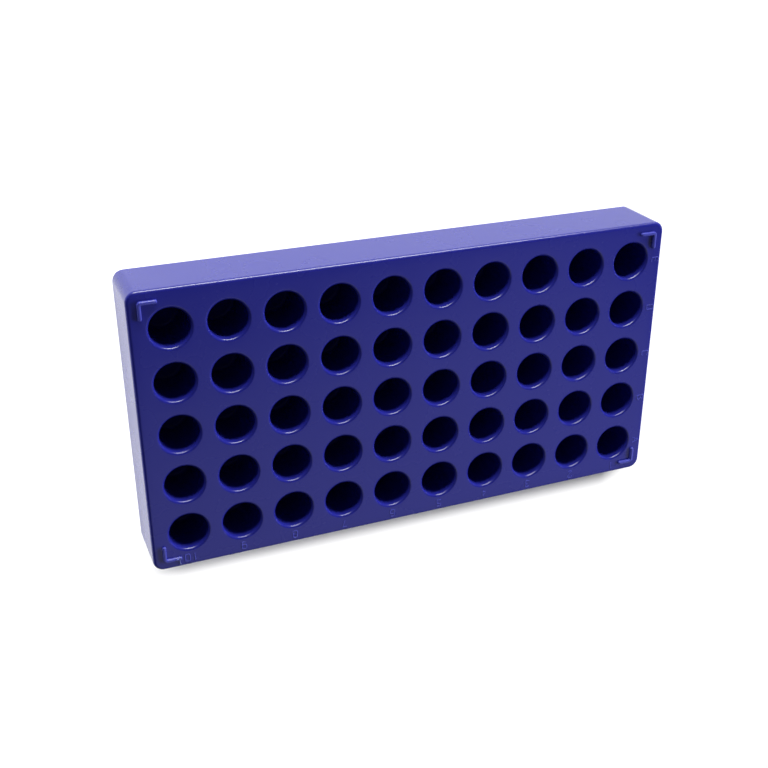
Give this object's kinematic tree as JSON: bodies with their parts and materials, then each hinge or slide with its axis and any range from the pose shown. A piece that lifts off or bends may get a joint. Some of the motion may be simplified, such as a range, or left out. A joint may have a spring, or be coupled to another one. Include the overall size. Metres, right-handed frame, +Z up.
{
  "type": "cryogenic tube rack",
  "caption": "One-piece moulded rack with a grid of round blind wells for cryogenic tubes, a skirt, corner stacking ribs and a raised letter and number index.",
  "frame": {"origin": "centre of the footprint's bounding box, on the bench", "axes": "+Z up through the mouths of the wells; +X along the long side, from column 1 to column 10; +Y to the long edge that carries the numbers"},
  "size_m": [0.1978, 0.1036, 0.0232],
  "materials": {
    "blue_polypropylene": "satin"
  },
  "bodies": {
    "root": {"well_row_a": "blue_polypropylene", "well_row_b": "blue_polypropylene", "well_row_c": "blue_polypropylene", "well_row_d": "blue_polypropylene", "well_row_e": "blue_polypropylene", "deck_border_numbers": "blue_polypropylene", "deck_border_plain": "blue_polypropylene", "deck_border_letters": "blue_polypropylene", "deck_border_end": "blue_polypropylene", "skirt_numbers": "blue_polypropylene", "skirt_plain": "blue_polypropylene", "skirt_letters": "blue_polypropylene", "skirt_end": "blue_polypropylene", "skirt_corner_a1": "blue_polypropylene", "skirt_corner_a10": "blue_polypropylene", "skirt_corner_e1": "blue_polypropylene", "skirt_corner_e10": "blue_polypropylene", "stacking_rib_a1": "blue_polypropylene", "stacking_rib_a10": "blue_polypropylene", "stacking_rib_e1": "blue_polypropylene", "stacking_rib_e10": "blue_polypropylene", "index_numbers": "blue_polypropylene", "index_letters": "blue_polypropylene"}
  },
  "joints": []
}
